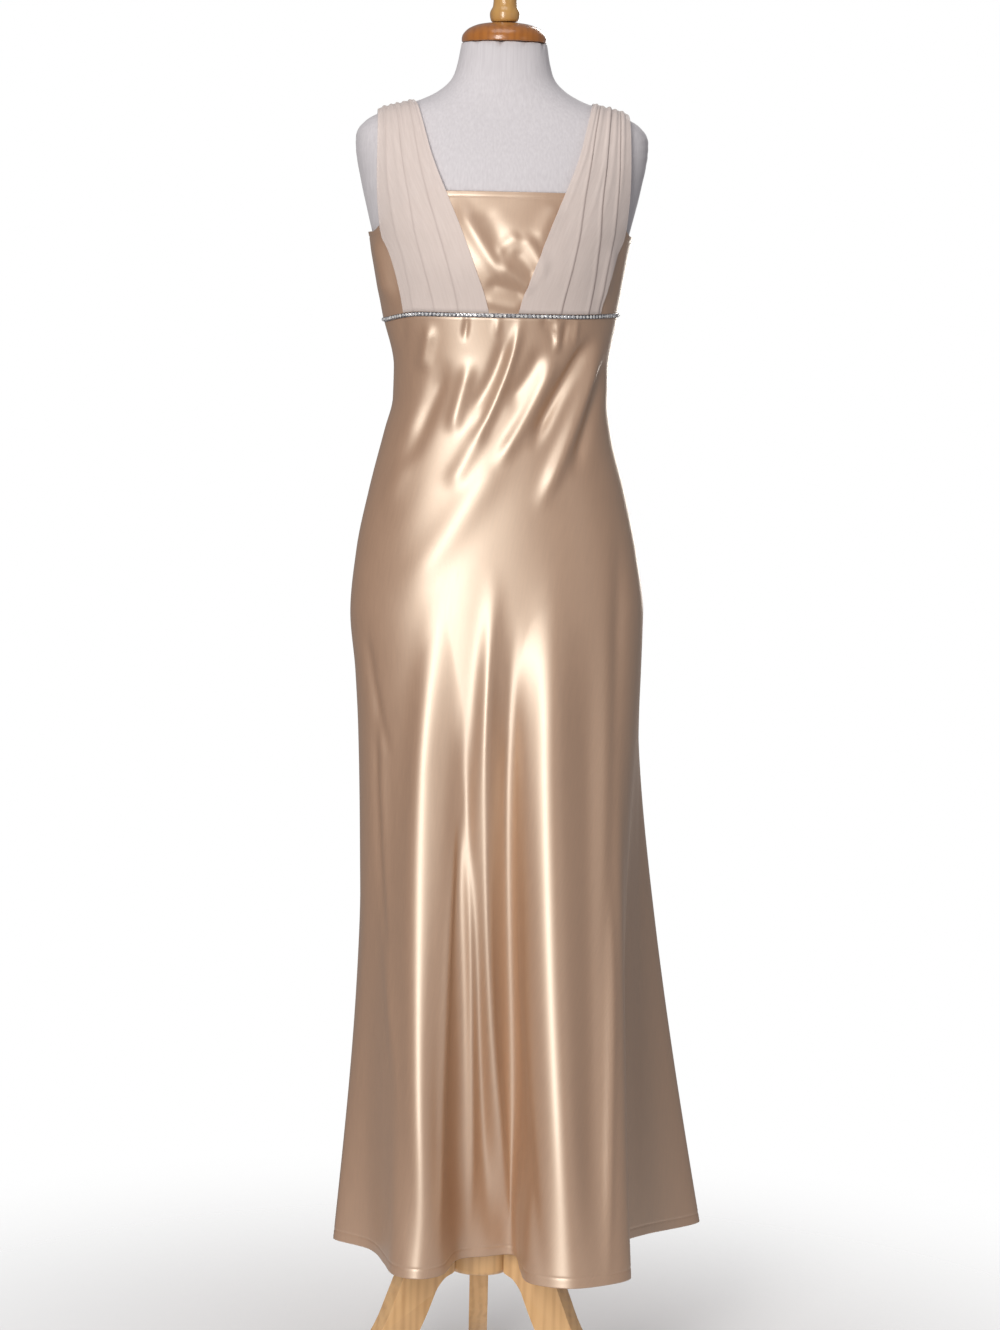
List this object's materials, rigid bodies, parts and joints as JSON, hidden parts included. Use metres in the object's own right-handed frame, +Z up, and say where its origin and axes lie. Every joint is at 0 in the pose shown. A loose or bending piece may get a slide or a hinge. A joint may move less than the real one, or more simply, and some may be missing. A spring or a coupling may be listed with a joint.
{
  "type": "evening gown on a dress form",
  "caption": "Gold satin empire-line evening gown with wide chiffon straps and a rhinestone trim, on a white limbless dress form with a wooden tripod stand",
  "frame": {"origin": "on the floor, under the middle of the whole object's box", "axes": "+Z up; -Y is the gown's front; +X is to the right of a viewer who faces the front"},
  "size_m": [0.546, 0.5024, 1.8],
  "materials": {
    "gold_satin": "glossy satin, champagne gold",
    "blush_chiffon": "sheer, matt",
    "silver_stones": "cut stones in silver cups",
    "zip_tape": "woven tape",
    "zip_metal": "polished, pale",
    "white_linen": "plain weave stretched over the form",
    "orange_wood": "clear varnish, orange brown",
    "pale_wood": "clear varnish, pale",
    "honey_wood": "satin varnish, honey"
  },
  "bodies": {
    "gown_on_form": {"bodice_front": "gold_satin", "bodice_back_left": "gold_satin", "bodice_back_right": "gold_satin", "skirt_front": "gold_satin", "skirt_back_left": "gold_satin", "skirt_back_right": "gold_satin", "strap_left": "blush_chiffon", "strap_right": "blush_chiffon", "beaded_trim": "silver_stones", "back_zip": "zip_tape", "zip_slider": "zip_metal", "form_torso": "white_linen", "neck_cap": "orange_wood", "finial": "pale_wood", "pole": "pale_wood", "hub": "honey_wood", "leg_front_left": "honey_wood", "leg_front_right": "honey_wood", "leg_back": "honey_wood"},
    "pull": {"zip_pull": "zip_metal"}
  },
  "joints": [
    {"name": "zip_pull_hinge", "type": "hinge", "parent": "gown_on_form", "child": "pull", "pos_m": [-0.017, 0.0678, 1.4381], "axis": [1, 0, 0], "range_deg": [-5, 150]}
  ]
}
